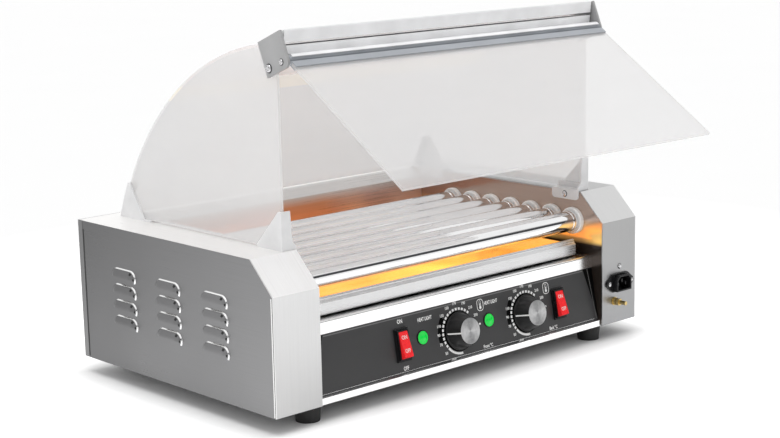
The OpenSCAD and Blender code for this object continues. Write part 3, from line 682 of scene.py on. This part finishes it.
def black_prints(bm):
    """Black corners, the patches under some of each dial's numbers, and behind each dial a black ring round
    the knob's foot, a painted shadow.
    """
    for side in (-1, 1):
        corners = ((PANEL_HALF, 1), (PANEL_HALF, FILM_FOOT), (PANEL_HALF - CORNER, 1))
        points = [on_panel(side * x, drop, BLACK_OUT) for x, drop in corners]
        add_polygon(bm, points if side < 0 else points[::-1])
    for x, _ in DIALS:
        dial = panel_matrix(x, DIAL_DROP, BLACK_OUT)
        for middle in PATCHES:
            add_arc_band(bm, dial, PATCH_RING, middle - PATCH_HALF, middle + PATCH_HALF, 6)
        # Painted shadow: a black ring round the knob's foot
        add_arc_band(bm, dial, SHADOW_RING, 0, 360, 48)


def grey_prints(bm):
    """A thin line along the top and one near each end."""
    edge = PANEL_HALF - TOP_LINE_IN
    top = ((-edge, 3.2), (edge, 3.2), (edge, 2), (-edge, 2))
    add_polygon(bm, [on_panel(x, drop, BLACK_OUT) for x, drop in top])
    (top_far, top_near), (foot_far, foot_near) = END_LINE_IN
    line = ((top_far, 1), (top_near, 1), (foot_near, FILM_FOOT), (foot_far, FILM_FOOT))
    for side in (-1, 1):
        add_polygon(bm, [on_panel(side * (PANEL_HALF - gap), drop, PRINT_OUT) for gap, drop in line])


def film_foot(bm):
    """The film's lower edge, lapped over the strip of bare panel above the bright lip."""
    sides = (-PANEL_HALF, PANEL_HALF)
    points = [on_panel(x, FILM_END, FILM_OUT) for x in sides]
    points += [on_panel(x, FILM_FOOT, FILM_OUT) for x in reversed(sides)]
    add_polygon(bm, points)


piece("film_foot", film_foot, M["film"], "grill_frame")
piece("panel_prints", white_prints, M["white_ink_and_highlight"], "grill_frame")
piece("panel_blacks", black_prints, M["black_ink_and_painted_shadow"], "grill_frame")
piece("panel_lines", grey_prints, M["grey_ink"], "grill_frame")

# Knobs, in millimetres: a soft base ring, and the pointer line up the cone's left side to the cap
KNOB_LOW, KNOB_HIGH = 21.0, 15.8
KNOB_FOOT, KNOB_TOP = 0.8, 18.5
CAP_R = 14.9
LINE_HALF = 0.8
LINE_FOOT = 2.3
LINE_PROUD = 0.12
LINE_TOP = KNOB_TOP + 0.05
RING_PROFILE = ((19.5, 0.75), (21.5, 0.75), (21.9, 1.2), (21.7, 1.9), (20.7, 2.2), (19.5, 2.2))


def pointer(centre):
    def make(bm):
        local = panel_matrix(centre.x / MM, DIAL_DROP)
        slope = (KNOB_LOW - KNOB_HIGH) / (KNOB_TOP - KNOB_FOOT)
        foot = (slope * (LINE_FOOT - KNOB_FOOT) - KNOB_LOW - LINE_PROUD, LINE_FOOT)
        rim = (-KNOB_HIGH - LINE_PROUD, LINE_TOP)
        inner = (-CAP_R, LINE_TOP)
        for (x0, h0), (x1, h1) in ((foot, rim), (rim, inner)):
            strip = ((x0, -LINE_HALF, h0), (x1, -LINE_HALF, h1), (x1, LINE_HALF, h1), (x0, LINE_HALF, h0))
            add_polygon(bm, [local @ (Vector(p) * MM) for p in strip])

    return make


def base_ring(centre):
    def make(bm):
        add_lathe(bm, panel_matrix(centre.x / MM, DIAL_DROP), RING_PROFILE, 64)

    return make


for key, centre in (("front", DIAL_AT), ("back", BACK_DIAL_AT)):
    piece(f"{key}_pointer", pointer(centre), M["white_ink_and_highlight"], f"{key}_dial")
    piece(f"{key}_knob_skirt", base_ring(centre), M["knob"], f"{key}_dial", smooth=True)

# Lamps: a black seating ring round each lens, in millimetres
SEAT_PROFILE = ((7.45, 0.03), (8.6, 0.03), (8.5, 0.7), (7.9, 1.1), (7.45, 1.1))


def lamp_seats(bm):
    for x in LAMP_X:
        add_lathe(bm, panel_matrix(x, LAMP_DROP), SEAT_PROFILE, 40)


piece("lamp_seats", lamp_seats, M["socket"], "grill_frame", smooth=True)

# Hinge strip: a dark rounded lip along its lower edge, in millimetres from the hinge's axis
LIP_AT = 13.9
LIP_HALF = 241.2
LIP_R = 2.95
LIP_DEEP = 0.7
LIP_TURNS = [math.radians(turn) for turn in range(-100, 101, 20)]


def hinge_lip(bm):
    local = Matrix.Translation(HINGE) @ Matrix.Rotation(FLAP_ANGLE, 4, "X")
    section = [(LIP_AT + LIP_DEEP * math.cos(t), LIP_R * math.sin(t)) for t in LIP_TURNS]
    left, right = ([bm.verts.new(local @ (Vector((x, y, z)) * MM)) for y, z in section]
                   for x in (-LIP_HALF, LIP_HALF))
    for a, b, c, d in zip(left, left[1:], right, right[1:]):
        bm.faces.new((a, b, d, c))
    bm.faces.new(left)
    bm.faces.new(right)


piece("hinge_lip", hinge_lip, M["lip"], "flap")

# Rocker keys: printed words on each half, riding with the key. Heights are millimetres over the pivot.
KEY_TILT = math.radians(-11.5)
KEY_FACE = 4.85
WORD_AT = 7.6


def key_words(joint):
    def make(bm):
        pivot = Matrix.Translation(Vector(joint["pos_m"]))
        local = pivot @ PANEL_TURN @ Matrix.Rotation(KEY_TILT, 4, "X")
        add_text(bm, "ON", 4.2, local @ shift(0, WORD_AT, KEY_FACE), 0.85)
        add_text(bm, "OFF", 4.2, local @ shift(0, -WORD_AT, KEY_FACE), 0.75)

    return make


for body, joint in ROCKERS.items():
    piece(f"{body}_words", key_words(joint), M["key_ink"], body)

# Screws: domed heads, each with painted shade, a dark cross over its recess and a dark ring round its foot.
# The shares are of the head's radius.
DOME = ((1, 0.0), (1, 0.2), (0.93, 0.36), (0.75, 0.48), (0.45, 0.545), (0.1, 0.555))
HEAD_HIGH = 0.55
CROSS_HIGH = 0.53
CROSS_ARM = 0.62
CROSS_HALF = 0.13
CROSS_TURN = math.radians(27)
SHADE_RING_SHARES = (0.98, 1.22)
SAME = 1e-5


def facing(at, out):
    """Local Z runs along out."""
    return Matrix.Translation(at) @ out.to_track_quat("Z", "Y").to_matrix().to_4x4()


def screw_islands():
    """The points of each vertex island in the CAD node of the screws."""
    bm = bmesh.new()
    bm.from_mesh(NODES["fixing_screws"].data)
    left = set(bm.verts)
    found = []
    while left:
        stack = [next(iter(left))]
        island = set()
        while stack:
            v = stack.pop()
            if v in island:
                continue
            island.add(v)
            stack.extend(e.other_vert(v) for e in v.link_edges)
        left -= island
        found.append([v.co.copy() for v in island])
    bm.free()
    return found


def merge_close(groups):
    """Joins vertex islands that share a position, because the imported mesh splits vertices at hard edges."""
    merged = []
    for group in groups:
        keys = {tuple(round(c, 6) for c in p) for p in group}
        touching = [m for m in merged if m & keys]
        for m in touching:
            keys |= m
            merged.remove(m)
        merged.append(keys)
    return [[Vector(k) for k in m] for m in merged]


def head_of(points):
    """Base centre, outward direction and radius of a screw, from its points: the head is the wide end."""
    low = Vector([min(p[i] for p in points) for i in range(3)])
    high = Vector([max(p[i] for p in points) for i in range(3)])
    middle = (low + high) / 2
    on_ends = [sum(min(abs(p[i] - low[i]), abs(p[i] - high[i])) < SAME for p in points) for i in range(3)]
    i = on_ends.index(max(on_ends))
    j = (i + 1) % 3
    at_low = max(abs(p[j] - middle[j]) for p in points if abs(p[i] - low[i]) < SAME)
    at_high = max(abs(p[j] - middle[j]) for p in points if abs(p[i] - high[i]) < SAME)
    sign = 1 if at_high > at_low else -1
    radius = max(at_low, at_high)
    out = Vector((0, 0, 0))
    out[i] = sign
    base = middle.copy()
    base[i] = (high[i] if sign > 0 else low[i]) - sign * radius * HEAD_HIGH
    return base, out, radius / MM


SCREWS = [head_of(points) for points in merge_close(screw_islands())]


def screw_heads(bm):
    for base, out, size in SCREWS:
        profile = [(size * r, size * h) for r, h in DOME]
        add_lathe(bm, facing(base, out), profile, 28, capped=True)


def screw_crosses(bm):
    """Painted shade: a dark cross just proud of each head, over its recess."""
    for base, out, size in SCREWS:
        matrix = facing(base, out) @ Matrix.Rotation(CROSS_TURN, 4, "Z")
        arm = size * CROSS_ARM
        half = size * CROSS_HALF
        low = size * CROSS_HIGH - 0.1
        high = size * CROSS_HIGH + 0.04
        add_box(bm, matrix, (-arm, -half, low), (arm, half, high))
        add_box(bm, matrix, (-half, -arm, low), (half, arm, high))


# Painted shade: a dark ring round the foot of each head
def screw_seats(bm):
    for base, out, size in SCREWS:
        add_lathe(bm, facing(base, out), [(size * share, 0.03) for share in SHADE_RING_SHARES], 28)


heads = piece("screw_heads", screw_heads, M["screw"], "grill_frame", smooth=True)
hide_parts("fixing_screws")
piece("screw_recess_shades", screw_crosses, M["dark"], "grill_frame")
piece("screw_seats", screw_seats, M["dark"], "grill_frame")

# Louvres, in millimetres: a painted highlight, a strip of bright steel along the top of each and round its
# front end, and painted shade, dark strips in the bend. A place on a path is an end, 1 at the back and -1 in
# front, and a turn round that end.
SHEET_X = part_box("rear_panel")[1].x
SIDE_LOW, SIDE_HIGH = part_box("left_side_panel")
LOUVRE_R = 12.0
LOUVRE_HALF = 13.3
LOUVRE_SINK = 7.0
LOUVRE_PROUD = 0.12
LOUVRE_FIRST = (97.75, 109.0)
LOUVRE_STEP = (84.5, 18.5)
BACK_END = [(1, turn) for turn in range(20, 100, 10)]
FRONT_END = [(-1, turn) for turn in range(90, -31, -10)]
SHADED_BENDS = (((84, 74, 64, 54), 26, 40), ((10, 0, -10), 34, 50))


def louvre_point(side, centre, end, turn, rise):
    """A point on a louvre, by two angles in degrees. At rise 0 it is on the crest, and a larger rise
    is further down the flank. Turn takes it round the end: 0 points along the louvre, 90 points up."""
    a = math.radians(turn)
    b = math.radians(rise)
    reach = (LOUVRE_R + LOUVRE_PROUD) * MM
    along = LOUVRE_HALF * MM + reach * math.sin(b) * math.cos(a)
    return centre + Vector((side * reach * math.cos(b), end * along, reach * math.sin(b) * math.sin(a)))


def louvre_centres():
    for side in (-1, 1):
        x = side * (SHEET_X - LOUVRE_SINK * MM)
        for column in range(3):
            y = SIDE_LOW.y + (LOUVRE_FIRST[0] + LOUVRE_STEP[0] * column) * MM
            for row in range(4):
                z = SIDE_LOW.z + (LOUVRE_FIRST[1] - LOUVRE_STEP[1] * row) * MM
                yield side, Vector((x, y, z))


def louvre_strip(bm, path, low, high):
    for side, centre in louvre_centres():
        rows = [[bm.verts.new(louvre_point(side, centre, end, turn, rise)) for rise in (low, high)]
                for end, turn in path]
        for (a, b), (c, d) in zip(rows, rows[1:]):
            bm.faces.new((a, c, d, b) if side < 0 else (a, b, d, c))


def louvre_ridges(bm):
    louvre_strip(bm, BACK_END + FRONT_END, 45, 53)


def louvre_pinches(bm):
    for turns, low, high in SHADED_BENDS:
        louvre_strip(bm, [(-1, turn) for turn in turns], low, high)


# Painted highlight on the louvre tops, painted shade in their bends
piece("louvre_ridges", louvre_ridges, M["bright"], "grill_frame", smooth=True)
piece("louvre_pinches", louvre_pinches, M["dark"], "grill_frame")

# Side panels: painted shade, dark strips in the open seam at the back edge and in the gap at the front, and a
# painted highlight, a white strip along the folded front edge
SHEET_PROUD = 0.0001
SEAM_WIDE = 0.0022
SEAM_FOOT, SEAM_TOP = 0.002, 0.010
GAP_NEAR, GAP_FAR = 0.0001, 0.0009
FOLD_FAR = 0.0026
FOLD_END = 0.001
FOLD_TOP = max(v.co.z for v in NODES["left_side_panel"].data.vertices if v.co.y < SIDE_LOW.y + 0.0005)


def side_strip(bm, near, far, low, high):
    for side in (-1, 1):
        x = side * (SHEET_X + SHEET_PROUD)
        points = ((x, near, low), (x, far, low), (x, far, high), (x, near, high))
        add_polygon(bm, points if side > 0 else points[::-1])


def front_strip(bm, near, far):
    side_strip(bm, SIDE_LOW.y + near, SIDE_LOW.y + far, SIDE_LOW.z + FOLD_END, FOLD_TOP - FOLD_END)


def side_gaps(bm):
    side_strip(bm, SIDE_HIGH.y - SEAM_WIDE, SIDE_HIGH.y, SIDE_LOW.z + SEAM_FOOT, SIDE_HIGH.z - SEAM_TOP)
    front_strip(bm, GAP_NEAR, GAP_FAR)


def side_folds(bm):
    front_strip(bm, GAP_FAR, FOLD_FAR)


# Painted shade in the seam and the gap, a painted highlight on the fold
piece("side_gaps", side_gaps, M["dark"], "grill_frame")
piece("side_folds", side_folds, M["white_ink_and_highlight"], "grill_frame")

# Roller ends, as radius and distance from the tube's middle in millimetres: a chrome collar on each end of
# a tube, and a raised rounded lip on the face of each white bush's flange
BUSH_FACE = 226.7 - 4.8
TUBE_R = 12.7
COLLAR = ((TUBE_R - 1, BUSH_FACE - 9), (TUBE_R + 0.25, BUSH_FACE - 9), (TUBE_R + 0.45, BUSH_FACE - 8),
          (TUBE_R + 0.45, BUSH_FACE - 2), (TUBE_R + 0.2, BUSH_FACE - 1.2), (TUBE_R - 1, BUSH_FACE - 1.2))
BUSH_LIP = ((14.4, BUSH_FACE + 0.5), (14.4, BUSH_FACE - 0.2), (14.8, BUSH_FACE - 0.55),
            (15.7, BUSH_FACE - 0.5), (16.5, BUSH_FACE + 0.05), (16.52, BUSH_FACE + 0.6))


def at_ends(bm, i, profile):
    centre = Matrix.Translation(Vector(JOINTS[f"roller_{i}_spin"]["pos_m"]))
    for side in (-1, 1):
        add_lathe(bm, centre @ Matrix.Rotation(side * math.pi / 2, 4, "Y"), profile, 48)


def collars(i):
    def make(bm):
        at_ends(bm, i, COLLAR)

    return make


def bush_lips(bm):
    for i in range(1, 8):
        at_ends(bm, i, BUSH_LIP)


for i in range(1, 8):
    piece(f"roller_collar_{i}", collars(i), M["chrome"], f"roller_{i}", smooth=True)
piece("bush_lips", bush_lips, M["bush"], "grill_frame", smooth=True)


# ---------------------------------------------------------------- stage, light and camera


# The floor's own light, as pairs of a distance from the base pan and a strength
FLOOR_LIFT = ((0.0, 0.08), (0.02, 0.30), (0.05, 0.68), (0.25, 0.50), (0.80, 0.09))
FLOOR_TONE = 0.76
FLOOR_SIZE = 40

# The studio's light, and its dark card in front. Each pair is where an edge of the card fades: its foot
# and top by the Z of the direction looked in, its ends by the Y.
TENT = 0.98
CARD = (0.06, 0.06, 0.065, 1)
CARD_FOOT = (0.01, 0.05)
CARD_TOP = (0.26, 0.40)
CARD_ENDS = (-0.45, -0.2)

# A soft light from overhead, and the glow of the heat over the drip tray
SUN_POWER = 1.15
SUN_SPREAD = math.radians(28)
SUN_TOWARD = (0.22, 0.12, -1)
GLOW_DROP = 0.016
GLOW_SIZE = (0.40, 0.2)
GLOW_POWER = 0.45
GLOW_COLOR = (1, 0.5, 0.12)

# The camera, fitted to the photograph
SENSOR = 36
LENS = 78.6
CAMERA_AT = (-1.340, -1.4284, 0.559)
CAMERA_RIGHT = Vector((0.7336, -0.6793, -0.0206))
CAMERA_UP = Vector((0.1456, 0.1276, 0.9811))
CAMERA_AHEAD = Vector((0.6638, 0.7227, -0.1925))


def matte(name, color):
    """White sweep, lit from within where the object would grey it, so only its contact shadow stays."""
    f = Finish(name, color, 0.9, Specular_IOR_Level=0.1)
    f.mottle(f.noise(scale=3, detail=2), 0.3, 0.7, tone(color, 0.995), color)
    low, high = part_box("base_pan")
    reach = []
    for axis, start, end in (("X", low.x, high.x), ("Y", low.y, high.y)):
        offset = f.math("ABSOLUTE", f.math("SUBTRACT", f.axis(axis), (start + end) / 2), 0)
        reach.append(f.math("MAXIMUM", f.math("SUBTRACT", offset, (end - start) / 2), 0))
    squared = [f.math("MULTIPLY", r, r) for r in reach]
    distance = f.math("SQRT", f.math("ADD", *squared), 0)
    lift = None
    for (near, glow), (far, next_glow) in zip(FLOOR_LIFT, FLOOR_LIFT[1:]):
        step = f.span(distance, near, far, 0, next_glow - glow)
        lift = step if lift is None else f.math("ADD", lift, step)
    f.set("Emission Color", (1, 1, 1, 1))
    f.drive("Emission Strength", lift)
    return f.material


def make_floor():
    bm = bmesh.new()
    bmesh.ops.create_grid(bm, x_segments=1, y_segments=1, size=FLOOR_SIZE)
    mesh = bpy.data.meshes.new("floor")
    bm.to_mesh(mesh)
    bm.free()
    mesh.materials.append(matte("floor_white", grey(FLOOR_TONE)))
    floor = add_object("floor", mesh)


def make_world():
    """Even white tent with a dark card low in front, which the polished tubes pick up as a dark band."""
    world = bpy.data.worlds.new("studio")
    bpy.context.scene.world = world
    world.use_nodes = True
    tree = world.node_tree
    coords = tree.nodes.new("ShaderNodeTexCoord")
    split = tree.nodes.new("ShaderNodeSeparateXYZ")
    tree.links.new(coords.outputs["Generated"], split.inputs["Vector"])

    def edge(axis, ends, start, end):
        node = tree.nodes.new("ShaderNodeMapRange")
        node.interpolation_type = "SMOOTHSTEP"
        for key, number in zip(MAP_KEYS, (*ends, start, end)):
            node.inputs[key].default_value = number
        tree.links.new(split.outputs[axis], node.inputs["Value"])
        return node.outputs["Result"]

    def times(first, second):
        node = tree.nodes.new("ShaderNodeMath")
        node.operation = "MULTIPLY"
        tree.links.new(first, node.inputs[0])
        tree.links.new(second, node.inputs[1])
        return node.outputs["Value"]

    height = times(edge("Z", CARD_FOOT, 0, 1), edge("Z", CARD_TOP, 1, 0))
    ramp = tree.nodes.new("ShaderNodeValToRGB")
    ramp.color_ramp.elements[0].color = (1, 1, 1, 1)
    ramp.color_ramp.elements[1].color = CARD
    tree.links.new(times(height, edge("Y", CARD_ENDS, 1, 0)), ramp.inputs["Fac"])
    background = tree.nodes["Background"]
    tree.links.new(ramp.outputs["Color"], background.inputs["Color"])
    background.inputs["Strength"].default_value = TENT


def aim(obj, direction):
    obj.rotation_euler = Vector(direction).to_track_quat("-Z", "Y").to_euler()


def make_lights():
    sun = bpy.data.lights.new("overhead", "SUN")
    sun.energy = SUN_POWER
    sun.angle = SUN_SPREAD
    aim(add_object("overhead", sun), SUN_TOWARD)
    glow = bpy.data.lights.new("heat_glow", "AREA")
    glow.shape = "RECTANGLE"
    glow.size, glow.size_y = GLOW_SIZE
    glow.energy = GLOW_POWER
    glow.color = GLOW_COLOR
    lamp = add_object("heat_glow", glow)
    low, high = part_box("drip_tray")
    lamp.location = (0, (low.y + high.y) / 2, ROLLER_Z - GLOW_DROP)
    aim(lamp, (0, 0, -1))
    lamp.visible_camera = False


def make_camera():
    data = bpy.data.cameras.new("view")
    data.sensor_width = SENSOR
    data.lens = LENS
    camera = add_object("view", data)
    turn = Matrix((CAMERA_RIGHT, CAMERA_UP, -CAMERA_AHEAD)).transposed().to_4x4()
    camera.matrix_world = Matrix.Translation(CAMERA_AT) @ turn
    bpy.context.scene.camera = camera


make_floor()
make_world()
make_lights()
make_camera()
bpy.context.scene.view_settings.view_transform = "Standard"
